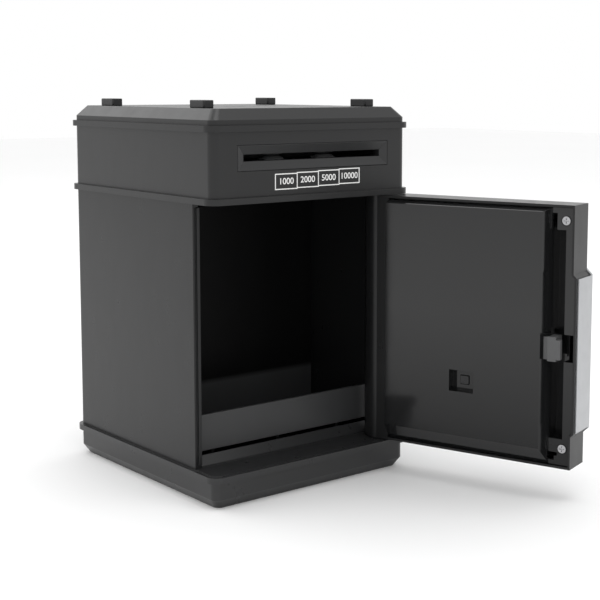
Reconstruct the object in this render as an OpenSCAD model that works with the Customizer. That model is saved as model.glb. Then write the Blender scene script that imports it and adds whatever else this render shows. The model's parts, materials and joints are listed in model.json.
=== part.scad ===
// Toy cash-machine savings bank: a hollow case with a hinged, locking door, a motor-fed note slot,
// a coin slot and an electronic keypad. Millimetres, +Z up, front towards -Y, origin under the centre.

/* [Case] */
// Width of the case walls
case_w = 120; // [116:1:126]
// Depth of the base and head
case_d = 133; // [129:1:140]
// Height of the base
base_h = 16.5; // [16.5:0.5:20]
// Height at which the head starts
head_z = 145.5; // [142:0.5:150]
// Height of the head's straight walls
head_h = 37; // [37:0.5:40]
// Wall thickness of the side walls
wall = 3.2; // [3:0.1:3.4]
// Place of the money compartment's back wall, front to back
back_y = 8; // [8:1:30]
// How far each rounded bead stands out
bead_out = 2; // [1:0.2:2.4]
// Radius of the upright corners
corner_r = 4; // [3:0.5:6]

/* [Top] */
// Inward run of the roof chamfer
roof_in = 4.6; // [3:0.2:6]
// Height of the roof chamfer
roof_rise = 5.3; // [4:0.1:6]
// Height of the four roof lugs
lug_h = 3.8; // [3:0.1:6]
// Length of the coin slot
coin_l = 30; // [26:1:31]
// Width of the coin slot
coin_w = 3.4; // [3:0.2:4]
// Place of the coin slot, front to back
coin_y = -8; // [-14:1:0]

/* [Door] */
// Angle at which the door stands open
open_angle = 108; // [0:1:118]
// Radius of the rounded hinge end, half of the door's thickness
hinge_r = 8.5; // [8.5:0.1:8.6]
// Radius of the hinge pins
pin_r = 2; // [1.8:0.1:2.2]
// Running clearance round a pin or shaft
fit = 0.06; // [0.04:0.01:0.08]

/* [Keypad and lock] */
// Width of a key
key_w = 10.5; // [9:0.5:11]
// Height of a key
key_h = 9; // [8:0.5:9.5]
// How far a key goes down
key_travel = 1; // [0.8:0.1:1]
// Throw of the latch bolt
throw = 3.4; // [3:0.1:3.4]
// Diameter of the knob
knob_d = 26; // [22:1:30]

/* [Note feed] */
// Radius of the rubber feed rollers
roller_r = 5.85; // [5.6:0.05:5.85]
// Gear module
gear_m = 0.6; // [0.6:0.1:0.6]
// Teeth of the gear on the feed shaft
gear_n = 30; // [30:1:30]
// Teeth of the motor pinion
pinion_n = 10; // [10:1:10]

/* [Hidden] */
$fn = 48;
hw = case_w / 2;
hd = case_d / 2;
wall_y = -hd + 17;                 // front edge of the side walls
hx = hw - 8.8;                     // hinge axis
hy = -hd + hinge_r;
head_top = head_z + head_h;
roof_z = head_top + 2.5;
top_z = roof_z + roof_rise;
tray_z = 23;
dz0 = base_h + 0.4;                // bottom and top of the door
dz1 = head_z - 0.4;
free_x = -hw + 0.3;                // free edge of the door, closed
rim_y = wall_y - 0.3;              // edge of the door's rim
flange_y = wall_y - 1.6;           // face of the inner panel's flange
face_y = wall_y + 4.5;             // raised face of the inner panel
front_t = 2.5;                     // thickness of the door's front
in_y = -hd + front_t;              // inside of the door's front
plate_y = -hd - 1.8;               // outside of the face plate
lock_z = 76;
knob_x = -33;
chan_x0 = -hw + 5;                 // channel at the free edge
chan_x1 = -hw + 11.8;
bolt_y0 = wall_y - 1;              // shank of the bolt
bolt_y1 = wall_y + 2.3;
feed_y = -hd + 14;
feed_z = head_z + 15.5;
nip_z = feed_z + 6;
idle_z = feed_z + 12;
mesh_d = gear_m * (gear_n + pinion_n) / 2;
mesh_a = -30;
motor_y = feed_y + mesh_d * cos(mesh_a);
motor_z = feed_z + mesh_d * sin(mesh_a);
key_x = [-2, 12, 26];
key_z = [93, 80, 67, 54];
reset_x = -3;
reset_z = 54.5;

// ---- shared shapes ----

// box from one corner to the other
module bx(x0, x1, y0, y1, z0, z1) {
    translate([x0, y0, z0]) cube([x1 - x0, y1 - y0, z1 - z0]);
}

// rounded rectangle, half sizes a and b
module rr(a, b, r) {
    square([2 * a - 2 * r, 2 * b], center = true);
    square([2 * a, 2 * b - 2 * r], center = true);
    for (i = [-1, 1], j = [-1, 1]) translate([i * (a - r), j * (b - r)]) circle(r);
}

module slab(a, b, r, z, h) { translate([0, 0, z]) linear_extrude(h) rr(a, b, r); }

// rod along Y and along X
module rod_y(x, z, r, y0, y1) { translate([x, y1, z]) rotate([90, 0, 0]) cylinder(r = r, h = y1 - y0); }
module rod_x(y, z, r, x0, x1) { translate([x0, y, z]) rotate([0, 90, 0]) cylinder(r = r, h = x1 - x0); }
module rod_z(x, y, r, z0, z1) { translate([x, y, z0]) cylinder(r = r, h = z1 - z0); }

// rounded rectangle in XZ, from y0 to y1
module pad_y(x, z, a, b, r, y0, y1) {
    translate([x, y1, z]) rotate([90, 0, 0]) linear_extrude(y1 - y0) rr(a, b, r);
}

// profile drawn in YZ, run along X
module run_x(x0, x1) { translate([x0, 0, 0]) rotate([90, 0, 90]) linear_extrude(x1 - x0) children(); }

// profile drawn in XZ, run along Y
module run_y(y0, y1) { translate([0, y1, 0]) rotate([90, 0, 0]) linear_extrude(y1 - y0) children(); }

// pan-head screw pointing up from z
module screw_up(x, y, z, l, hr = 2.6) {
    difference() {
        union() { rod_z(x, y, hr, z, z + 1.6); rod_z(x, y, 1.2, z + 1.6, z + 1.6 + l); }
        bx(x - hr * .7, x + hr * .7, y - .3, y + .3, z - 1, z + .8);
        bx(x - .3, x + .3, y - hr * .7, y + hr * .7, z - 1, z + .8);
    }
}

// turns the closed door's parts to where the door stands
module hung() { translate([hx, hy, 0]) rotate([0, 0, open_angle]) translate([-hx, -hy, 0]) children(); }

// involute gear outline with a tooth on the first axis
function inv(a) = tan(a) * 180 / PI - a;
module gear_2d(n, m, slack = 0.08) {
    pr = m * n / 2;
    br = pr * cos(20);
    tip = pr + 0.9 * m;
    root = pr - 1.2 * m;
    half = 90 / n - slack / pr * 90 / PI + inv(20);
    steps = 5;
    lo = max(br, root);
    pts = [for (t = [0:n - 1]) each concat(
        [[root, t * 360 / n - half]],
        [for (i = [0:steps]) let (q = lo + (tip - lo) * i / steps, a = acos(min(1, br / q)))
            [q, t * 360 / n - half + inv(a)]],
        [for (i = [steps:-1:0]) let (q = lo + (tip - lo) * i / steps, a = acos(min(1, br / q)))
            [q, t * 360 / n + half - inv(a)]],
        [[root, t * 360 / n + half]])];
    polygon([for (p = pts) [p[0] * cos(p[1]), p[0] * sin(p[1])]]);
}

// barrel roller along X
module barrel(x, y, z, l, bore) {
    translate([x - l / 2, y, z]) rotate([0, 90, 0]) rotate_extrude()
        polygon([[bore, 0], [roller_r - 1, 0], [roller_r - .25, 1.2], [roller_r, l * .35],
            [roller_r, l * .65], [roller_r - .25, l - 1.2], [roller_r - 1, l], [bore, l]]);
}

// ---- case ----

module base() color("#303234") difference() {
    union() {
        hull() {
            slab(hw - 3, hd - 3, 3, 0, .01);
            slab(hw, hd, corner_r, 4.7, .01);
        }
        slab(hw, hd, corner_r, 4.7, base_h - 4.7);
        slab(hw + bead_out, hd + bead_out, corner_r + bead_out, base_h - 3.3, 3);
        // sill under the tray
        run_x(-56, 56) polygon([[wall_y + .5, base_h - .5], [wall_y + 4.8, base_h - .5],
            [wall_y + 4.8, base_h + 5], [wall_y + 3.9, base_h + 5], [wall_y + .5, base_h + .8]]);
    }
    difference() {
        slab(hw - 5, hd - 5, 3, 2, base_h - 4.2);
        rod_z(hx, hy, 5.5, 0, base_h);
        for (i = [-1, 1]) rod_z(i * 52, 59.5, 5.5, 0, base_h);
        // walls of the battery bay
        difference() { bx(-27, 27, -21, 21, 0, base_h); bx(-25.4, 25.4, -19.4, 19.4, 0, base_h); }
        for (i = [-1, 1]) bx(i * 15 - .8, i * 15 + .8, 21, 62, 0, base_h);
    }
    bx(-25.4, 25.4, -19.4, 19.4, -1, 3);
    bx(-27.2, 27.2, -19.4, 19.4, -1, 1.8);
    rod_z(hx, hy, pin_r, 9, base_h + 1);
    for (i = [-1, 1]) {
        rod_z(i * 52, 59.5, 1.2, 0, base_h + 1);
        rod_z(i * 52, 59.5, 2.8, -1, 4);
    }
}

module battery_cover() color("#26282a") difference() {
    union() {
        bx(-27, 27, -19.2, 19.2, .2, 1.8);
        bx(-25.2, 25.2, -19.2, 19.2, 1.8, 2.2);
    }
    rod_z(0, -15.5, 1.5, -1, 4);
    rod_z(0, -15.5, 2.8, -1, .9);
    for (i = [0:3]) bx(-6, 6, 9 + i * 2, 10 + i * 2, -1, .7);
}

module battery_screw() color("#b8babd") difference() {
    union() { rod_z(0, -15.5, 2.4, .2, .9); rod_z(0, -15.5, 1.2, .9, 9); }
    bx(-1.7, 1.7, -15.8, -15.2, 0, .55);
    bx(-.3, .3, -17.2, -13.8, 0, .55);
}

module battery_cells() color("#3f6f9f") for (i = [-1, 0, 1]) {
    rod_x(2 + i * 10.9, 8.2, 5.2, -21.5, 21.5);
    rod_x(2 + i * 10.9, 8.2, 1.8, i == 0 ? -22.8 : 21.5, i == 0 ? -21.5 : 22.8);
}

module battery_contacts() color("#c9b27a") for (s = [-1, 1]) {
    bx(s * 25.1 - .3, s * 25.1 + .3, -13, 17, 3.4, 12.8);
    for (i = [-1, 0, 1]) if ((i == 0 ? 1 : -1) * s > 0)
        rod_x(2 + i * 10.9, 8.2, 2.4, min(s * 21.6, s * 24.8), max(s * 21.6, s * 24.8));
}

module case_shell() color("#2c2e30") difference() {
    union() {
        difference() {
            slab(hw, hd, corner_r, base_h, head_z - base_h);
            slab(hw - wall, hd - 2.8, 2, base_h - 1, head_z - base_h + 2);
            bx(-hw - 1, hw + 1, -hd - 1, wall_y, base_h - 1, head_z + 1);
        }
        // tongue that the door's rim closes over
        bx(-hw + 1.6, -hw + wall, wall_y - 1.2, wall_y + 1, base_h + 2, head_z - 2);
        for (i = [-1, 1]) rod_z(i * 52, 59.5, 4.6, base_h, head_z);
        // ribs behind the compartment's back wall
        for (i = [-1, 1]) translate([i * (hw - wall - 1), 0, 0])
            bx(-1.1, 1.1, back_y + 1.9, back_y + 3.4, base_h + 1, head_z - 8);
    }
    // mortise for the latch bolt
    bx(-hw + .9, -hw + wall + 1, wall_y + .6, wall_y + 4.1, lock_z - 5.4, lock_z + 5);
    for (i = [-1, 1]) {
        rod_z(i * 52, 59.5, 1.2, base_h - 1, base_h + 13);
        rod_z(i * 52, 59.5, 1.2, head_z - 13, head_z + 1);
    }
}

module case_screws() color("#b8babd") for (i = [-1, 1]) {
    screw_up(i * 52, 59.5, 2.4, 20);
    translate([0, 0, 2 * head_z]) mirror([0, 0, 1]) screw_up(i * 52, 59.5, head_z - 3.8, 10);
}

module money_tray() color("#34373a") {
    bx(-56, 56, -hd + 22.5, -hd + 24.2, tray_z, 41);
    bx(-56, 56, -hd + 24.2, back_y, tray_z, tray_z + 1.6);
    bx(-56, 56, back_y, back_y + 1.6, tray_z, head_z - 8);
    for (i = [-40, 0, 40]) bx(i - 1, i + 1, -35, back_y - 2, base_h, tray_z);
}

module head_housing() color("#303234") difference() {
    union() {
        difference() {
            union() {
                slab(hw, hd, corner_r, head_z, head_h);
                slab(hw + bead_out, hd + bead_out, corner_r + bead_out, head_z, 3);
                slab(hw + bead_out, hd + bead_out, corner_r + bead_out, head_top - 3, 3);
            }
            slab(hw - 2.5, hd - 2.5, 2, head_z + 2.2, head_h);
        }
        rod_z(hx, hy, 5, head_z, head_z + 8);
    }
    // front opening for the slot bezel
    bx(-45.75, 47.45, -hd - 4, -hd + 3, nip_z - 6.25, nip_z + 6.25);
    // way down for notes and for coins
    bx(-38, 38, -32, -24.5, head_z - 1, head_z + 3);
    bx(-15.5, 15.5, coin_y - 4.5, coin_y + 4.5, head_z - 1, head_z + 3);
    rod_z(hx, hy, pin_r, head_z - 1, head_z + 5);
    for (i = [-1, 1]) rod_z(i * 52, 59.5, 1.4, head_z - 1, head_z + 3);
}

module top_cover() color("#34373a") difference() {
    union() {
        slab(hw, hd, corner_r, head_top, 2.5);
        hull() {
            slab(hw, hd, corner_r, roof_z - .01, .01);
            slab(hw - roof_in, hd - roof_in, 3, top_z - .01, .01);
        }
        slab(hw - 2.7, hd - 2.7, 2, head_top - 2.5, 2.6);
    }
    slab(hw - 6, hd - 6, 2, head_top - 3, top_z - head_top + .5);
    bx(-coin_l / 2, coin_l / 2, coin_y - coin_w / 2, coin_y + coin_w / 2, head_top, top_z + 1);
}

module roof_lugs() color("#2c2e30") for (i = [-1, 1], j = [-1, 1])
    translate([i * 50, j * 43, 0]) slab(3, 6.2, .8, top_z, lug_h);

module slot_bezel() color("#26282a") difference() {
    bx(-45.6, 47.3, -hd, -hd + 6.5, nip_z - 6.1, nip_z + 6.1);
    hull() {
        bx(-45.3, 47, -hd - .02, -hd, nip_z - 5.8, nip_z + 5.8);
        bx(-41.2, 43.2, -hd + 1.7, -hd + 1.72, nip_z - 1.6, nip_z + 1.6);
    }
    bx(-41.2, 43.2, -hd, -hd + 8, nip_z - 1.6, nip_z + 1.6);
}

module note_guide() color("#4a4d50") difference() {
    union() {
        for (i = [-1, 1]) bx(i * 48.5 - 1, i * 48.5 + 1, -hd + 7.5, -22.5, head_z + 2.2, head_z + 32.5);
        bx(-48, 48, -hd + 7.5, -33, nip_z - 3.6, nip_z - 2.2);
        bx(-48, 48, -hd + 7.5, -24, nip_z + 2.2, nip_z + 3.6);
        bx(-48, 48, -24, -22.5, head_z + 2.2, nip_z + 3.6);
    }
    for (i = [-16, 16]) bx(i - 7, i + 7, -hd + 7, feed_y + 7, nip_z - 5, nip_z + 5);
    rod_x(feed_y, feed_z, 1.5 + fit, -52, 52);
    rod_x(feed_y, idle_z, 1.5 + fit, -52, 52);
    rod_x(motor_y, motor_z, 2.2, -52, -46);
    rod_z(hx, hy, 5.4, head_z, head_z + 8.4);
}

module feed_shaft() color("#a9acaf") rod_x(feed_y, feed_z, 1.5, -54.6, 50.6);
module idler_shaft() color("#a9acaf") rod_x(feed_y, idle_z, 1.5, -50.6, 50.6);
module feed_rollers() color("#6b6e70") for (i = [-16, 16]) barrel(i, feed_y, feed_z, 12, 1.5);
module idler_rollers() color("#6b6e70") for (i = [-16, 16]) barrel(i, feed_y, idle_z, 12, 1.5);

module drive_gear() color("#d9d6cc") translate([-54, 0, 0]) difference() {
    union() {
        translate([0, feed_y, feed_z]) rotate([90, 0, 90]) linear_extrude(3.4)
            rotate(mesh_a) gear_2d(gear_n, gear_m);
        rod_x(feed_y, feed_z, 3.2, 3.4, 4.2);
    }
    rod_x(feed_y, feed_z, 1.5, -1, 5);
}

module motor_pinion() color("#d8c37a") {
    translate([-54, motor_y, motor_z]) rotate([90, 0, 90]) linear_extrude(3.4)
        rotate(mesh_a + 180 + 180 / pinion_n) gear_2d(pinion_n, gear_m);
    rod_x(motor_y, motor_z, 1, -50.6, -40);
}

module feed_motor() color("#9a9da0") difference() {
    union() {
        rod_x(motor_y, motor_z, 7, -46.6, -24);
        rod_x(motor_y, motor_z, 2, -47.4, -46.6);
        rod_x(motor_y, motor_z, 3, -24, -22.6);
    }
    rod_x(motor_y, motor_z, 1 + fit, -48, -39);
}

module motor_bracket() color("#4a4d50") {
    difference() {
        bx(-43, -27, motor_y - 7.6, motor_y + 7.6, head_z + 2.2, motor_z - 1);
        rod_x(motor_y, motor_z, 7, -44, -26);
    }
}

module note_sensor() color("#2f6b45") {
    bx(27, 43, -46, -34, nip_z - 4.8, nip_z - 3.6);
    bx(32, 38, -43, -37, nip_z - 7.5, nip_z - 4.8);
    bx(28, 31, -45, -35, nip_z - 8.5, nip_z - 4.8);
}

module coin_chute() color("#4a4d50") difference() {
    bx(-17, 17, coin_y - 6, coin_y + 6, head_z + 2.2, head_top + 5);
    bx(-15.5, 15.5, coin_y - 4.5, coin_y + 4.5, head_z, head_top + 6);
}

module hinge_pins() color("#a9acaf") {
    rod_z(hx, hy, pin_r, 9, base_h + 6);
    rod_z(hx, hy, pin_r, head_z - 6, head_z + 5);
}

// ---- door, drawn closed ----

// outline of the free edge with its bulge, in XZ
module edge_2d(x_in, x_out, bulge, z0, z1, dz = 0) polygon([[x_in, z0], [x_out, z0],
    [x_out, 33 + dz], [x_out - bulge, 33 + bulge + dz], [x_out - bulge, 112 - bulge - dz],
    [x_out, 112 - dz], [x_out, z1], [x_in, z1]]);

module key_cells() for (i = [0:2], j = [0:3]) translate([key_x[i], 0, key_z[j]]) children();

module door_shell() color("#303234") hung() difference() {
    union() {
        difference() {
            union() {
                run_y(-hd, rim_y) edge_2d(hx, free_x, 1.6, dz0, dz1);
                rod_z(hx, hy, hinge_r, dz0, dz1);
            }
            run_y(in_y, 0) edge_2d(hx - 9, free_x + 1, 1.6, dz0 + 1.2, dz1 - 1.2, .4);
        }
        for (z = [26.5, 137.5]) rod_y(-55, z, 3, in_y - .5, flange_y - 3);
        for (x = [-12, 36], z = [49, 98]) rod_y(x, z, 1.8, in_y - .5, in_y + 3);
        for (x = [-40, 36], z = [116, 136]) rod_y(x, z, 2, in_y - .5, in_y + 6);
        rod_y(-38, 97, 4, in_y - .5, in_y + 4);
    }
    for (z = [26.5, 137.5]) rod_y(-55, z, 1, in_y + 1, flange_y);
    rod_z(hx, hy, pin_r + fit, dz0 - 1, dz0 + 7);
    rod_z(hx, hy, pin_r + fit, dz1 - 7, dz1 + 1);
    key_cells() pad_y(0, 0, key_w / 2 + .2, key_h / 2 + .2, 2, -hd - 1, in_y + 1);
    rod_y(knob_x, lock_z, 3.1, -hd - 1, in_y + 1);
    for (x = key_x) rod_y(x, 106, 2.1, -hd - 1, in_y + 1);
}

module face_plate() color("#b4b7ba") hung() difference() {
    union() {
        run_y(plate_y, -hd) polygon([[44, 33], [34, 23], [-50.4, 23], [-60.4, 33],
            [free_x - 2.3, 34.5], [free_x - 2.3, 110.5], [-60.4, 112], [-50.4, 122], [34, 122], [44, 112]]);
        run_y(plate_y, rim_y - 1.6) polygon([[free_x - 1.6, 35], [free_x - 2.3, 35],
            [free_x - 2.3, 110], [free_x - 1.6, 110]]);
    }
    key_cells() pad_y(0, 0, key_w / 2 + .2, key_h / 2 + .2, 2, plate_y - 1, in_y + 1);
    rod_y(knob_x, lock_z, 3.1, plate_y - 1, in_y + 1);
    for (x = key_x) rod_y(x, 106, 2.1, plate_y - 1, in_y + 1);
    // shallow ring round the knob
    difference() {
        rod_y(knob_x, lock_z, knob_d / 2 + 2, plate_y - 1, plate_y + .4);
        rod_y(knob_x, lock_z, knob_d / 2 + 1, plate_y - 2, plate_y + 1);
    }
}

module door_pan() color("#2c2e30") hung() difference() {
    union() {
        run_y(flange_y - 1.5, flange_y) edge_2d(hx - 9.2, free_x + 1.2, 1.6, dz0 + 1.4, dz1 - 1.4, .5);
        hull() {
            bx(chan_x1, hx - 9.2, flange_y - .01, flange_y, dz0 + 1.6, dz1 - 1.6);
            bx(chan_x1 + 3, hx - 10, face_y - .01, face_y, dz0 + 9.6, dz1 - 3.3);
        }
        bx(chan_x0 - 1.2, chan_x1 + 1.4, in_y + 2.5, flange_y, 30, 134.2);
        bx(-51.6, chan_x1 + 1.4, in_y + 2.5, flange_y, 130, 142.2);
        // rails that guide the bolt
        bx(-44, -25, bolt_y0 - .6, face_y - 1, lock_z + 5.7, lock_z + 7);
        bx(-44, -25, bolt_y0 - .6, face_y - 1, lock_z - 7, lock_z - 5.7);
        // pocket of the reset button
        bx(reset_x - 8, reset_x + 8, face_y - 5.7, face_y - 1, reset_z - 6.7, reset_z + 6.7);
    }
    difference() {
        hull() {
            bx(chan_x1 + 1.4, hx - 10.7, flange_y - 2, flange_y - 1.9, dz0 + 3.1, dz1 - 3.1);
            bx(chan_x1 + 4.2, hx - 11.5, face_y - 1.5, face_y - 1.49, dz0 + 9.4, dz1 - 4.9);
        }
        bx(-44, -25, bolt_y0 - .6, face_y, lock_z + 5.7, lock_z + 7);
        bx(-44, -25, bolt_y0 - .6, face_y, lock_z - 7, lock_z - 5.7);
        bx(reset_x - 8, reset_x + 8, face_y - 5.7, face_y, reset_z - 6.7, reset_z + 6.7);
    }
    // channel along the free edge
    bx(chan_x0, chan_x1, in_y + 4, face_y, 31.2, 133);
    bx(-50.4, chan_x1, in_y + 4, face_y, 130, 141);
    // passage of the bolt and its notch in the flange
    bx(chan_x1 - 1, chan_x1 + 7, bolt_y0 - .2, bolt_y1 + .2, lock_z - 5.7, lock_z + 5.7);
    bx(free_x, chan_x0 + 1, flange_y - 4, flange_y + 1, lock_z - 6.6, lock_z + 6.6);
    // way in for the lock's plunger
    rod_z(-40, wall_y + .65, 1.4, lock_z + 5, lock_z + 8);
    // recess and bore of the reset button
    bx(reset_x - 6.7, reset_x + 6.7, face_y - 4.5, face_y + 1, reset_z - 5.4, reset_z + 5.4);
    pad_y(reset_x, reset_z, 2.6, 2.4, .5, face_y - 7, face_y);
    // screw seats and corner notches
    for (z = [26.5, 137.5]) {
        rod_y(-55, z, 2.5, flange_y - .9, flange_y + 1);
        rod_y(-55, z, 1.1, flange_y - 4, flange_y + 1);
    }
    bx(-50.9, -47.6, flange_y - 4, flange_y + 2, 20.5, 24.5);
    bx(-52.4, -50, flange_y - 4, flange_y + 1, 22.7, 24.5);
}

module door_screws() color("#c4c6c8") hung() for (z = [26.5, 137.5]) difference() {
    union() {
        rod_y(-55, z, 2.1, flange_y - .9, flange_y + .2);
        rod_y(-55, z, 1, in_y + 3, flange_y - .9);
    }
    bx(-56.4, -53.6, flange_y - .4, flange_y + 1, z - .28, z + .28);
    bx(-55.28, -54.72, flange_y - .4, flange_y + 1, z - 1.4, z + 1.4);
}

module keypad_board() color("#2f6b45") hung() {
    bx(-14, 38, in_y + 3, in_y + 4.2, 46, 101);
    key_cells() rod_y(0, 0, 2.5, in_y + 2.5, in_y + 3);
    bx(reset_x - 3, reset_x + 3, in_y + 4.2, face_y - 10.3, reset_z - 3, reset_z + 3);
}

module main_board() color("#2f6b45") hung() {
    bx(-43, 39, in_y + 6, in_y + 7.2, 112, 139);
    bx(-12, 4, in_y + 7.2, in_y + 9, 118, 134);
    bx(16, 30, in_y + 7.2, in_y + 12, 129, 136);
    for (x = [-30, -22]) rod_y(x, 122, 3, in_y + 7.2, in_y + 13);
}

module lamp(x) hung() {
    rod_y(x, 106, 2, plate_y - 1, in_y + 1);
    rod_y(x, 106, 2.6, in_y, in_y + 1.5);
}
module lamp_green() color("#3aa655") lamp(key_x[0]);
module lamp_yellow() color("#d8b13a") lamp(key_x[1]);
module lamp_red() color("#c8413b") lamp(key_x[2]);

module knob() color("#3c3f42") hung() difference() {
    union() {
        rod_y(knob_x, lock_z, knob_d / 2, plate_y - 5, plate_y - .4);
        rod_y(knob_x, lock_z, knob_d / 2 - 2.5, plate_y - 8, plate_y - 5);
        pad_y(knob_x, lock_z, knob_d / 2 - 3, 3, 2.5, plate_y - 15, plate_y - 8);
    }
    rod_y(knob_x, lock_z, 3, plate_y - 10, plate_y);
}

module knob_spindle() color("#a9acaf") hung() {
    rod_y(knob_x, lock_z, 3, plate_y - 10, bolt_y0 - 3);
    rod_y(knob_x, lock_z, 5.5, bolt_y0 - 3, bolt_y0 - .6);
    rod_y(knob_x + throw / 2, lock_z + throw / 2, 1.25, bolt_y0 - .6, bolt_y1 - .2);
}

module latch_bolt() color("#8f9295") hung() difference() {
    union() {
        bx(-53, chan_x1 - .5, wall_y - 4, wall_y + 3.7, lock_z - 6, lock_z + 6);
        bx(chan_x0 - .2, -53, wall_y + 1, wall_y + 3.7, lock_z - 5, lock_z + 4.6);
        bx(chan_x1 - .6, -25.5, bolt_y0, bolt_y1, lock_z - 5.5, lock_z + 5.5);
    }
    // slot for the crank pin, and two notches for the plunger
    bx(knob_x + throw / 2 - 1.4, knob_x + throw / 2 + 1.4, bolt_y0 - 1, bolt_y1 + 1,
        lock_z + .2, lock_z + 4.2);
    for (s = [0, throw]) bx(-41.3 + s, -38.7 + s, bolt_y0 - 1, bolt_y1 + 1, lock_z + 2.6, lock_z + 7);
}

module lock_solenoid() color("#6f7376") hung() difference() {
    bx(-44, -33, in_y + 4, wall_y + 2, 88, 106);
    rod_z(-40, wall_y + .65, 1 + fit, 87, 100);
}

module lock_plunger() color("#c4c6c8") hung() {
    rod_z(-40, wall_y + .65, 1, lock_z + 5.9, 97);
    rod_z(-40, wall_y + .65, 1.9, 85.8, 87);
}

module reset_button() color("#1e1f21") hung() {
    pad_y(reset_x, reset_z, 2.3, 2.1, .4, face_y - 9, face_y - 4);
    rod_y(reset_x, reset_z, 3.4, face_y - 7, face_y - 5.9);
}

module buzzer() color("#1e1f21") hung() difference() {
    rod_y(20, 32, 6, in_y, in_y + 5);
    rod_y(20, 32, 1, in_y + 3, in_y + 6);
}

module key(i, j) color("#d9dbdd") hung() {
    pad_y(key_x[i], key_z[j], key_w / 2, key_h / 2, 1.8, plate_y - 2, in_y + 1.2);
    pad_y(key_x[i], key_z[j], key_w / 2 + .8, key_h / 2 + .8, 1.8, in_y + .2, in_y + 1.2);
}
module key_1() key(0, 0);
module key_2() key(1, 0);
module key_3() key(2, 0);
module key_4() key(0, 1);
module key_5() key(1, 1);
module key_6() key(2, 1);
module key_7() key(0, 2);
module key_8() key(1, 2);
module key_9() key(2, 2);
module key_star() key(0, 3);
module key_0() key(1, 3);
module key_hash() key(2, 3);

base();
battery_cover();
battery_screw();
battery_cells();
battery_contacts();
case_shell();
case_screws();
money_tray();
head_housing();
top_cover();
roof_lugs();
slot_bezel();
note_guide();
feed_shaft();
feed_rollers();
drive_gear();
idler_shaft();
idler_rollers();
feed_motor();
motor_pinion();
motor_bracket();
note_sensor();
coin_chute();
hinge_pins();
door_shell();
face_plate();
door_pan();
door_screws();
keypad_board();
main_board();
lamp_green();
lamp_yellow();
lamp_red();
knob();
knob_spindle();
latch_bolt();
lock_solenoid();
lock_plunger();
reset_button();
buzzer();
key_1();
key_2();
key_3();
key_4();
key_5();
key_6();
key_7();
key_8();
key_9();
key_star();
key_0();
key_hash();
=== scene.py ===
"""Toy cash-machine savings bank: finishes, printing and fine detail on the CAD frame. Metres."""

import json
import math

import bmesh
import bpy
from mathutils import Matrix, Vector

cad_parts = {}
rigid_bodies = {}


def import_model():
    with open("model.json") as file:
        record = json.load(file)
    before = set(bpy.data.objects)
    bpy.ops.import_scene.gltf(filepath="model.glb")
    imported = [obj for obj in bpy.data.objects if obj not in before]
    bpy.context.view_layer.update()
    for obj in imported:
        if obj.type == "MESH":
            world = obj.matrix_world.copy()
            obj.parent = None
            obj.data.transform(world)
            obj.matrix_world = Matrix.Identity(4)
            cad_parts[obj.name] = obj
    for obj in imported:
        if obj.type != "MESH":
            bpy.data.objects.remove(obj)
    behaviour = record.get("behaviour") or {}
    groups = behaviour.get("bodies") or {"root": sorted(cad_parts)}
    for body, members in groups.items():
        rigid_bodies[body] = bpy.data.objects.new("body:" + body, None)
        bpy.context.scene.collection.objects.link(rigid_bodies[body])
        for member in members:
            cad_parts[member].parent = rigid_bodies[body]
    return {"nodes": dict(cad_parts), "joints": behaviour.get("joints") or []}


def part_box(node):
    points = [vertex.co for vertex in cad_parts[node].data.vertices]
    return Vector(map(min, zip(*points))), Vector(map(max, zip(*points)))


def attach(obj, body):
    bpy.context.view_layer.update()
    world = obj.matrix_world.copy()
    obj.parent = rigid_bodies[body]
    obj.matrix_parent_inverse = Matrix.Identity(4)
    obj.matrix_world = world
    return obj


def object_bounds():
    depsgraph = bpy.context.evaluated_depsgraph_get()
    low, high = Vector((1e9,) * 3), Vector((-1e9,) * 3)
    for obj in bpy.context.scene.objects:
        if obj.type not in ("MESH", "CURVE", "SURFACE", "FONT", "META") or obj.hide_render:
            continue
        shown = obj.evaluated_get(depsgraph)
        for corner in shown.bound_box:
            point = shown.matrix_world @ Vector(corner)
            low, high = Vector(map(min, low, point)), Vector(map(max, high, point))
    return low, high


MM = 0.001
UP = Vector((0, 0, 1))

for leftover in list(bpy.data.objects):
    bpy.data.objects.remove(leftover)
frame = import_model()
cad_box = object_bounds()
nodes = frame["nodes"]

# ---- camera ----

CAMERA_AT = Vector((-0.3886, -0.5608, 0.2006))
HEADING = math.radians(39.75)  # from +Y towards +X
TILT = math.radians(-6.37)
ROLL = math.radians(0.12)
LENS = 77.0
SHIFT = (-0.083, -0.117)

ahead = Vector(
    (math.sin(HEADING) * math.cos(TILT), math.cos(HEADING) * math.cos(TILT), math.sin(TILT))
)
right = ahead.cross(UP).normalized()
right = Matrix.Rotation(-ROLL, 3, ahead) @ right
above = right.cross(ahead)
camera = bpy.data.objects.new("camera", bpy.data.cameras.new("camera"))
bpy.context.scene.collection.objects.link(camera)
camera.matrix_world = Matrix(
    (
        (right.x, above.x, -ahead.x, CAMERA_AT.x),
        (right.y, above.y, -ahead.y, CAMERA_AT.y),
        (right.z, above.z, -ahead.z, CAMERA_AT.z),
        (0, 0, 0, 1),
    )
)
camera.data.lens = LENS
camera.data.sensor_width = 36
camera.data.shift_x, camera.data.shift_y = SHIFT
camera.data.clip_start, camera.data.clip_end = 0.01, 20
bpy.context.scene.camera = camera

# ---- materials ----


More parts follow.
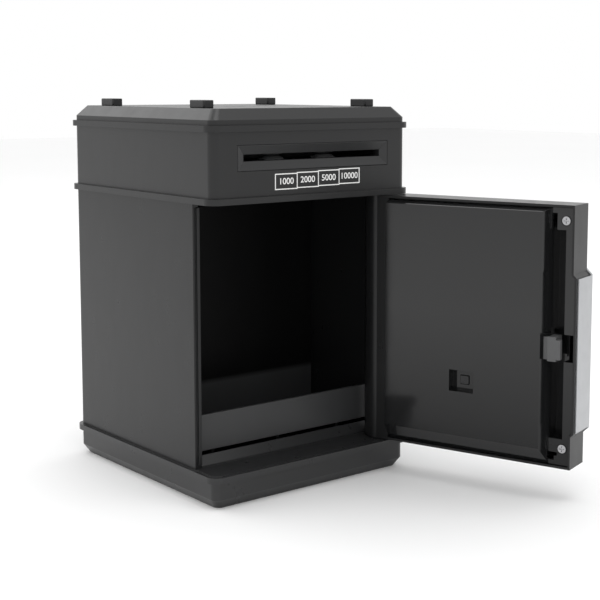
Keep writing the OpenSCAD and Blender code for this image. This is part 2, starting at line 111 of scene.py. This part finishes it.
class Nodes:
    """A material's node tree, with short calls to add and join nodes."""

    def __init__(self, name):
        self.material = bpy.data.materials.new(name)
        self.material.use_nodes = True
        self.tree = self.material.node_tree
        self.shader = self.tree.nodes["Principled BSDF"]
        self.place = self.tree.nodes.new("ShaderNodeTexCoord").outputs["Object"]

    def add(self, kind, inputs=None, **settings):
        node = self.tree.nodes.new("ShaderNode" + kind)
        for key, value in settings.items():
            setattr(node, key, value)
        for key, value in (inputs or {}).items():
            if isinstance(value, bpy.types.NodeSocket):
                self.tree.links.new(value, node.inputs[key])
            else:
                node.inputs[key].default_value = value
        return node

    def noise(self, scale, detail=2.0, stretch=(1, 1, 1)):
        place = self.place
        if stretch != (1, 1, 1):
            place = self.add("Mapping", {"Vector": place, "Scale": stretch}).outputs["Vector"]
        inputs = {"Vector": place, "Scale": scale, "Detail": detail}
        return self.add("TexNoise", inputs).outputs["Fac"]

    def between(self, value, low, high, at=(0.3, 0.7)):
        inputs = {"Value": value, "From Min": at[0], "From Max": at[1], "To Min": low, "To Max": high}
        return self.add("MapRange", inputs).outputs["Result"]

    def mix(self, factor, first, second):
        node = self.add("Mix", data_type="RGBA")
        for socket, value in ((0, factor), (6, first), (7, second)):
            if isinstance(value, bpy.types.NodeSocket):
                self.tree.links.new(value, node.inputs[socket])
            else:
                node.inputs[socket].default_value = value
        return node.outputs[2]

    def join(self, socket, name):
        self.tree.links.new(socket, self.shader.inputs[name])

    def bump(self, heights):
        """Chains (height, strength, distance) bumps into the shader's normal."""
        normal = None
        for height, strength, distance in heights:
            inputs = {"Height": height, "Strength": strength, "Distance": distance}
            if normal is not None:
                inputs["Normal"] = normal
            normal = self.add("Bump", inputs).outputs["Normal"]
        self.join(normal, "Normal")


def shade(color, factor):
    return tuple(min(1.0, c * factor) for c in color[:3]) + (1.0,)


def plastic(
    name,
    color,
    rough,
    grain=0.25,
    grain_mm=0.25,
    spread=0.03,
    vary=0.08,
    level=0.42,
    coat=0.0,
    painted_shade_above=None,
    painted_dim_reflection_below=None,
):
    """Moulded plastic: fine grain, slow waviness and uneven gloss.

    It can have painted shade above a height, or a painted weaker reflection towards the lower of two
    heights.
    """
    n = Nodes(name)
    cloud = n.noise(45, 3)
    tone = n.mix(cloud, shade(color, 1 - vary), shade(color, 1 + vary))
    if painted_shade_above:
        height = n.add("SeparateXYZ", {"Vector": n.place}).outputs["Z"]
        # painted shade: darker and less glossy above this height, where the inside of the case lies
        # in shade
        painted_shade_mask = n.between(height, 0.0, 1.0, (painted_shade_above, painted_shade_above + 3 * MM))
        tone = n.mix(painted_shade_mask, tone, shade(color, 0.1))
        n.join(n.between(painted_shade_mask, level, 0.1, (0.0, 1.0)), "Specular IOR Level")
    if painted_dim_reflection_below:
        # painted reflection: weaker gloss towards the bottom stands in for the darker reflection
        # there
        height = n.add("SeparateXYZ", {"Vector": n.place}).outputs["Z"]
        n.join(n.between(height, level * 0.6, level, painted_dim_reflection_below), "Specular IOR Level")
    n.join(tone, "Base Color")
    smear = n.noise(160, 4, (1, 1, 0.35))
    n.join(n.between(smear, rough - spread, rough + spread), "Roughness")
    n.shader.inputs["Specular IOR Level"].default_value = level
    n.shader.inputs["Coat Weight"].default_value = coat
    n.shader.inputs["Coat Roughness"].default_value = 0.12
    n.bump(
        [
            (n.noise(22, 1), 0.06, 0.3 * MM),
            (n.noise(1 / (grain_mm * MM), 2), grain, 0.03 * MM),
        ]
    )
    return n.material


def metal(name, color, rough, stretch=(1, 1, 30)):
    """Drawn or brushed metal: fine lines along one way, and uneven gloss."""
    n = Nodes(name)
    lines = n.noise(1100, 3, stretch)
    n.join(n.mix(lines, shade(color, 0.86), shade(color, 1.08)), "Base Color")
    n.join(n.between(n.noise(200, 3), rough - 0.06, rough + 0.08), "Roughness")
    n.shader.inputs["Metallic"].default_value = 1.0
    n.bump([(lines, 0.2, 0.02 * MM)])
    return n.material


def flake_paint(name, color, rough):
    """Silver paint: a fine sparkle of metal flakes under an uneven satin film."""
    n = Nodes(name)
    flakes = n.add("TexVoronoi", {"Vector": n.place, "Scale": 9000.0})
    tone = n.between(flakes.outputs["Distance"], 0.82, 1.1, (0.1, 0.8))
    cloud = n.noise(60, 3)
    base = n.mix(cloud, shade(color, 0.93), shade(color, 1.05))
    n.join(n.mix(tone, (0, 0, 0, 1), base), "Base Color")
    n.join(n.between(n.noise(240, 3), rough - 0.06, rough + 0.06), "Roughness")
    n.shader.inputs["Metallic"].default_value = 0.75
    n.shader.inputs["Coat Weight"].default_value = 0.25
    n.shader.inputs["Coat Roughness"].default_value = 0.2
    n.bump([(flakes.outputs["Distance"], 0.12, 0.01 * MM), (n.noise(26, 1), 0.1, 0.3 * MM)])
    return n.material


def lens_plastic(name, color):
    """Clear coloured lamp lens with a faint moulded texture."""
    n = Nodes(name)
    cloud = n.noise(900, 2)
    n.join(n.mix(cloud, shade(color, 0.7), shade(color, 1.15)), "Base Color")
    n.join(n.between(n.noise(500, 3), 0.08, 0.2), "Roughness")
    n.shader.inputs["Transmission Weight"].default_value = 0.35
    n.shader.inputs["Coat Weight"].default_value = 0.6
    n.bump([(n.noise(1600, 2), 0.15, 0.02 * MM)])
    return n.material


def circuit(name):
    """Green board with tracks under its lacquer."""
    n = Nodes(name)
    tracks = n.add(
        "TexBrick",
        {"Vector": n.place, "Scale": 420.0, "Mortar Size": 0.06, "Bias": 0.0},
        offset=0.35,
    )
    lacquer = n.mix(tracks.outputs["Fac"], (0.012, 0.12, 0.045, 1), (0.03, 0.22, 0.08, 1))
    cloud = n.noise(700, 3)
    n.join(n.mix(cloud, lacquer, (0.014, 0.13, 0.05, 1)), "Base Color")
    n.join(n.between(n.noise(400, 3), 0.28, 0.5), "Roughness")
    n.bump([(tracks.outputs["Fac"], 0.2, 0.03 * MM), (n.noise(2500, 2), 0.15, 0.02 * MM)])
    return n.material


BLACK = (0.0085, 0.0087, 0.0091)
INNER = (0.014, 0.0144, 0.015)
TRAY_PAINTED_SHADE_FROM = 41.5 * MM  # painted shade starts just above the retaining wall
# heights over which the pan's reflection is painted weaker towards the bottom
PAN_DIM_REFLECTION_RANGE = (25 * MM, 90 * MM)

shell = plastic("satin_black_shell", BLACK, 0.3, level=0.33)
base_plastic = plastic("satin_black_base", (0.02, 0.0203, 0.021), 0.3)
head_plastic = plastic("satin_black_head", BLACK, 0.33)
interior = plastic("matt_black_inner", INNER, 0.5, grain=0.35)
# the tray gets painted shade above the retaining wall
tray_plastic = plastic(
    "satin_black_tray", (0.034, 0.0345, 0.0355), 0.34, painted_shade_above=TRAY_PAINTED_SHADE_FROM
)
pan_plastic = plastic(
    "gloss_black_pan", BLACK, 0.09, grain=0.03, spread=0.02, level=0.5, painted_dim_reflection_below=PAN_DIM_REFLECTION_RANGE
)
lug_plastic = plastic("black_lug", (0.01, 0.0102, 0.0106), 0.4)
bezel_plastic = plastic("black_bezel", (0.018, 0.0184, 0.019), 0.36)
knob_plastic = plastic("charcoal_knob", (0.05, 0.052, 0.056), 0.3)
bolt_plastic = plastic("grey_bolt", (0.085, 0.0857, 0.0875), 0.4)
button_plastic = plastic("black_button", (0.012, 0.012, 0.013), 0.32)
key_plastic = plastic("pale_key", (0.66, 0.67, 0.69), 0.36, grain=0.18, vary=0.04)
gear_plastic = plastic("natural_nylon", (0.62, 0.59, 0.5), 0.42, vary=0.06)
rubber = plastic("roller_rubber", (0.13, 0.131, 0.133), 0.62, grain=0.6, grain_mm=0.15, level=0.35)
cell_wrap = plastic("cell_wrap", (0.05, 0.16, 0.34), 0.22, grain=0.06, coat=0.4)
silver = flake_paint("silver_paint", (0.42, 0.427, 0.44), 0.34)
steel = metal("steel", (0.6, 0.61, 0.62), 0.3)
screw_steel = metal("plated_screw", (0.42, 0.42, 0.43), 0.28, (1, 1, 1))
can_steel = metal("motor_can", (0.52, 0.53, 0.55), 0.32, (30, 1, 1))
brass = metal("brass", (0.72, 0.55, 0.24), 0.3, (1, 1, 1))
contact = metal("sprung_contact", (0.66, 0.6, 0.44), 0.28)

board_finish = circuit("circuit_board")
green = lens_plastic("green_lens", (0.05, 0.5, 0.13))
yellow = lens_plastic("yellow_lens", (0.8, 0.52, 0.06))
red = lens_plastic("red_lens", (0.62, 0.04, 0.03))
white_print = plastic("white_print", (0.82, 0.82, 0.81), 0.5, grain=0.4, grain_mm=0.12, vary=0.05)
dark_print = plastic("dark_print", (0.03, 0.032, 0.036), 0.5, grain=0.4, grain_mm=0.12)

FINISH = {
    "base": base_plastic,
    "battery_cover": shell,
    "battery_screw": screw_steel,
    "battery_cells": cell_wrap,
    "battery_contacts": contact,
    "case_shell": shell,
    "case_screws": screw_steel,
    "money_tray": tray_plastic,
    "head_housing": head_plastic,
    "top_cover": head_plastic,
    "roof_lugs": lug_plastic,
    "slot_bezel": bezel_plastic,
    "note_guide": interior,
    "feed_shaft": steel,
    "feed_rollers": rubber,
    "drive_gear": gear_plastic,
    "idler_shaft": steel,
    "idler_rollers": rubber,
    "feed_motor": can_steel,
    "motor_pinion": brass,
    "motor_bracket": interior,
    "note_sensor": board_finish,
    "coin_chute": interior,
    "hinge_pins": steel,
    "door_shell": shell,
    "face_plate": silver,
    "door_pan": pan_plastic,
    "door_screws": screw_steel,
    "keypad_board": board_finish,
    "main_board": board_finish,
    "lamp_green": green,
    "lamp_yellow": yellow,
    "lamp_red": red,
    "knob": knob_plastic,
    "knob_spindle": steel,
    "latch_bolt": bolt_plastic,
    "lock_solenoid": can_steel,
    "lock_plunger": steel,
    "reset_button": button_plastic,
    "buzzer": button_plastic,
}
KEYS = [name for name in nodes if name.startswith("key_")]
for name in KEYS:
    FINISH[name] = key_plastic

# ---- rounded edges on the CAD parts ----

FINE = 0.08 * MM
SMALL = 0.2 * MM
BROAD = 0.4 * MM
WELD_WITHIN = 0.002 * MM
FLAT_WITHIN = math.radians(0.4)  # faces that differ by less become one
EDGE_OVER = math.radians(32)  # gentler angles aren't edges
EDGE = {
    "base": BROAD,
    "case_shell": BROAD,
    "head_housing": BROAD,
    "top_cover": BROAD,
    "door_shell": BROAD,
    "door_pan": SMALL,
    "knob": BROAD,
    "roof_lugs": BROAD,
    "money_tray": SMALL,
    "slot_bezel": SMALL,
    "face_plate": SMALL,
    "latch_bolt": SMALL,
}
for name in KEYS:
    EDGE[name] = BROAD

for name, obj in nodes.items():
    finish = FINISH[name]
    obj.data.materials.clear()
    obj.data.materials.append(finish)
    weld = obj.modifiers.new("weld", "WELD")
    weld.merge_threshold = WELD_WITHIN
    flat = obj.modifiers.new("flat", "DECIMATE")
    flat.decimate_type = "DISSOLVE"
    flat.angle_limit = FLAT_WITHIN
    round_off = obj.modifiers.new("edge", "BEVEL")
    round_off.width = EDGE.get(name, FINE)
    round_off.segments = 2
    round_off.limit_method = "ANGLE"
    round_off.angle_limit = EDGE_OVER
    even = obj.modifiers.new("normals", "WEIGHTED_NORMAL")
    even.keep_sharp = True

# ---- places on the open door ----

hinge = next(j for j in frame["joints"] if j["name"] == "door_hinge")
hinge_at = Vector(hinge["pos_m"])
door_turn = math.radians(-hinge["range_deg"][0])  # the rest pose stands this far from closed
OPEN = (
    Matrix.Translation(hinge_at)
    @ Matrix.Rotation(door_turn, 4, "Z")
    @ Matrix.Translation(-hinge_at)
)
SHUT = OPEN.inverted()


def closed_box(node):
    """Corners of a door node with the door closed, front towards -Y."""
    spots = [SHUT @ v.co for v in nodes[node].data.vertices]
    low = Vector(min(p[i] for p in spots) for i in range(3))
    high = Vector(max(p[i] for p in spots) for i in range(3))
    return low, high


# ---- building pieces ----


def piece(name, bm, material, body, on_door=False):
    """Turns a bmesh into a finished piece that rides on a body."""
    mesh = bpy.data.meshes.new(name)
    bmesh.ops.recalc_face_normals(bm, faces=bm.faces)
    bm.to_mesh(mesh)
    bm.free()
    if on_door:
        mesh.transform(OPEN)
    mesh.materials.append(material)
    obj = bpy.data.objects.new(name, mesh)
    bpy.context.scene.collection.objects.link(obj)
    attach(obj, body)
    return obj


def plate(bm, outline, y_front, y_back, holes=()):
    """Extrudes a closed outline of (x, z) points, with holes, between two depths."""
    rings = [outline, *holes]
    for y in (y_front, y_back):
        edges = []
        for ring in rings:
            verts = [bm.verts.new((x, y, z)) for x, z in ring]
            edges += [bm.edges.new((a, b)) for a, b in zip(verts, verts[1:] + verts[:1])]
        bmesh.ops.triangle_fill(bm, use_beauty=True, edges=edges)
    bm.verts.ensure_lookup_table()
    total = sum(len(ring) for ring in rings)
    first = len(bm.verts) - 2 * total
    start = first
    for ring in rings:
        for i in range(len(ring)):
            j = (i + 1) % len(ring)
            a, b = bm.verts[start + i], bm.verts[start + j]
            bm.faces.new((a, b, bm.verts[start + j + total], bm.verts[start + i + total]))
        start += len(ring)


def rectangle(x0, x1, z0, z1):
    return [(x0, z0), (x1, z0), (x1, z1), (x0, z1)]


def arc(x, z, radius, start, end, steps):
    """Points on an arc, angles in degrees from +X towards +Z."""
    angles = [math.radians(start + (end - start) * i / steps) for i in range(steps + 1)]
    return [(x + radius * math.cos(a), z + radius * math.sin(a)) for a in angles]


LATHE_STEPS = 48


def lathe_y(bm, x, z, profile):
    """Turns (radius, y) points about an axis along Y."""
    rings = []
    for radius, y in profile:
        ring = arc(x, z, radius, 0, 360, LATHE_STEPS)[:-1]
        rings.append([bm.verts.new((px, y, pz)) for px, pz in ring])
    for low, high in zip(rings, rings[1:] + rings[:1]):
        for i in range(LATHE_STEPS):
            j = (i + 1) % LATHE_STEPS
            bm.faces.new((low[i], low[j], high[j], high[i]))


PRINT_DEPTH = 0.04 * MM
CAPITAL = 0.7  # a capital's height as a share of the font's size


def lettering(text, height, x, y, z, bold=0.0, wide=1.0):
    """A bmesh of plain lettering, centred on (x, z), standing proud of y towards -Y."""
    curve = bpy.data.curves.new("text", "FONT")
    curve.body = text
    curve.size = height / CAPITAL
    curve.align_x, curve.align_y = "CENTER", "CENTER"
    curve.extrude = PRINT_DEPTH / 2
    curve.offset = bold
    holder = bpy.data.objects.new("text", curve)
    bpy.context.scene.collection.objects.link(holder)
    evaluated = holder.evaluated_get(bpy.context.evaluated_depsgraph_get())
    mesh = bpy.data.meshes.new_from_object(evaluated)
    bpy.data.objects.remove(holder)
    mesh.transform(
        Matrix.Translation((x, y - PRINT_DEPTH / 2, z))
        @ Matrix.Rotation(math.radians(90), 4, "X")
        @ Matrix.Scale(wide, 4, (1, 0, 0))
    )
    bm = bmesh.new()
    bm.from_mesh(mesh)
    bpy.data.meshes.remove(mesh)
    return bm


# ---- value labels on the head ----

bezel_low, bezel_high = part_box("slot_bezel")
LABEL_LINE = 0.5 * MM
LABEL_THICK = 0.05 * MM
LABEL_HIGH = 7.8 * MM
LABEL_WIDE = 13.6 * MM
LABEL_STEP = 0.35 * MM  # each label sits a little higher than the one before
LABEL_TEXTS = ("1000", "2000", "5000", "10000")
LABEL_TEXT_HIGH = 3.0 * MM
LABEL_LAP = 0.02 * MM  # each label laps over the one before
LABEL_BOLD = 0.04 * MM
LABEL_WIDEN = 1.06
LABELS_LEFT_OF_MIDDLE = 25.0 * MM
LABELS_UNDER_BEZEL = 9.7 * MM
head_front = bezel_low.y
labels_left = (bezel_low.x + bezel_high.x) / 2 - LABELS_LEFT_OF_MIDDLE
labels_low = bezel_low.z - LABELS_UNDER_BEZEL

for index, text in enumerate(LABEL_TEXTS):
    x0 = labels_left + index * (LABEL_WIDE - LABEL_LINE)
    z0 = labels_low + index * LABEL_STEP
    x1, z1 = x0 + LABEL_WIDE, z0 + LABEL_HIGH
    bm = bmesh.new()
    plate(
        bm,
        rectangle(x0, x1, z0, z1),
        head_front - LABEL_THICK - index * LABEL_LAP,
        head_front,
        [rectangle(x0 + LABEL_LINE, x1 - LABEL_LINE, z0 + LABEL_LINE, z1 - LABEL_LINE)],
    )
    piece("label_frame_" + text, bm, white_print, "case")
    middle_x, middle_z = (x0 + x1) / 2, (z0 + z1) / 2
    bm = lettering(
        text, LABEL_TEXT_HIGH, middle_x, head_front, middle_z, LABEL_BOLD, LABEL_WIDEN
    )
    piece("label_number_" + text, bm, white_print, "case")

# ---- keypad legends ----

LEGEND_HIGH = 4.2 * MM
LEGEND_BOLD = 0.05 * MM

for name in KEYS:
    sign = {"key_star": "*", "key_hash": "#"}.get(name, name[-1])
    low, high = closed_box(name)
    middle_x, middle_z = (low.x + high.x) / 2, (low.z + high.z) / 2
    bm = lettering(sign, LEGEND_HIGH, middle_x, low.y, middle_z, LEGEND_BOLD)
    piece("legend_" + name, bm, dark_print, name, on_door=True)

# ---- knob: grip ridges, pointer and printed ring ----

knob_low, knob_high = closed_box("knob")
knob_x, knob_z = (knob_low.x + knob_high.x) / 2, (knob_low.z + knob_high.z) / 2
knob_r = (knob_high.x - knob_low.x) / 2
plate_front = closed_box("face_plate")[0].y
SKIRT_HIGH = 5 * MM  # the skirt's front above the face plate
skirt_front = plate_front - SKIRT_HIGH
RIDGES = 40
RIDGE_OUT = 0.22 * MM
RIDGE_IN = 0.3 * MM
RIDGE_TIP = 1.6  # half angles in degrees
RIDGE_FOOT = 2.6
RIDGE_BEHIND_FRONT = 0.5 * MM
RIDGE_OFF_PLATE = 0.8 * MM
POINTER_INSET = 0.6 * MM
POINTER_LONG = 1.6 * MM
POINTER_WIDE = 0.9 * MM
PRINT_THICK = 0.05 * MM
TICK_ANGLES = (0, 30, 60, 90)
TICK_NEAR = 3 * MM
TICK_FAR = 5 * MM
TICK_NEAR_HALF = 1.4  # half angles in degrees
TICK_FAR_HALF = 1.2

bm = bmesh.new()
for index in range(RIDGES):
    angle = 360 * index / RIDGES
    tip = arc(knob_x, knob_z, knob_r + RIDGE_OUT, angle - RIDGE_TIP, angle + RIDGE_TIP, 2)
    foot = arc(knob_x, knob_z, knob_r - RIDGE_IN, angle + RIDGE_FOOT, angle - RIDGE_FOOT, 2)
    plate(bm, tip + foot, skirt_front + RIDGE_BEHIND_FRONT, plate_front - RIDGE_OFF_PLATE)
piece("knob_ridges", bm, knob_plastic, "knob", on_door=True)

pointer_end = knob_x + knob_r - POINTER_INSET
pointer_half = POINTER_WIDE / 2
pointer = rectangle(
    pointer_end - POINTER_LONG, pointer_end, knob_z - pointer_half, knob_z + pointer_half
)
bm = bmesh.new()
plate(bm, pointer, skirt_front - PRINT_THICK, skirt_front)
piece("knob_pointer", bm, white_print, "knob", on_door=True)

bm = bmesh.new()
for angle in TICK_ANGLES:
    outer = arc(
        knob_x, knob_z, knob_r + TICK_FAR, angle - TICK_FAR_HALF, angle + TICK_FAR_HALF, 2
    )
    inner = arc(
        knob_x, knob_z, knob_r + TICK_NEAR, angle + TICK_NEAR_HALF, angle - TICK_NEAR_HALF, 2
    )
    plate(bm, outer + inner, plate_front - PRINT_DEPTH, plate_front)
piece("dial_ticks", bm, dark_print, "door", on_door=True)

# ---- rims round the three lamps ----

RIM_PROFILE = [  # radius, and height above the face plate
    (2.15 * MM, 0),
    (2.15 * MM, 0.5 * MM),
    (2.5 * MM, 0.7 * MM),
    (3.0 * MM, 0.5 * MM),
    (3.1 * MM, 0),
]
rim_profile = [(radius, plate_front - above_plate) for radius, above_plate in RIM_PROFILE]

bm = bmesh.new()
for name in ("lamp_green", "lamp_yellow", "lamp_red"):
    low, high = closed_box(name)
    lathe_y(bm, (low.x + high.x) / 2, (low.z + high.z) / 2, rim_profile)
rims = piece("lamp_rims", bm, knob_plastic, "door", on_door=True)
for polygon in rims.data.polygons:
    polygon.use_smooth = True

# ---- floor, light and surroundings ----

FLOOR_HALF = 4.0
bm = bmesh.new()
bmesh.ops.create_grid(bm, x_segments=4, y_segments=4, size=FLOOR_HALF)
floor_mesh = bpy.data.meshes.new("floor")
bm.to_mesh(floor_mesh)
bm.free()
floor = bpy.data.objects.new("floor", floor_mesh)
bpy.context.scene.collection.objects.link(floor)
floor_finish = Nodes("pale_floor")
floor_finish.join(
    floor_finish.mix(floor_finish.noise(3, 2), (0.95, 0.95, 0.95, 1), (0.97, 0.97, 0.97, 1)),
    "Base Color",
)
floor_finish.shader.inputs["Roughness"].default_value = 0.7
floor_finish.shader.inputs["Specular IOR Level"].default_value = 0.2
floor.data.materials.append(floor_finish.material)

world = bpy.data.worlds.new("studio")
world.use_nodes = True
world.node_tree.nodes["Background"].inputs["Color"].default_value = (1, 1, 1, 1)
world.node_tree.nodes["Background"].inputs["Strength"].default_value = 1.0
bpy.context.scene.world = world
bpy.context.scene.view_settings.view_transform = "Standard"

middle = (cad_box[0] + cad_box[1]) / 2


def softbox(name, away, size, power):
    """A square area light that far from the object's middle, aimed at it."""
    light = bpy.data.lights.new(name, "AREA")
    light.shape = "SQUARE"
    light.size = size
    light.energy = power
    lamp = bpy.data.objects.new(name, light)
    bpy.context.scene.collection.objects.link(lamp)
    lamp.location = middle + Vector(away)
    lamp.rotation_mode = "QUATERNION"
    lamp.rotation_quaternion = (-Vector(away)).to_track_quat("-Z", "Y")


softbox("back_left_top", (-0.45, 1.05, 1.1), 1.3, 6)
softbox("overhead", (0.1, -0.2, 1.3), 0.8, 4)
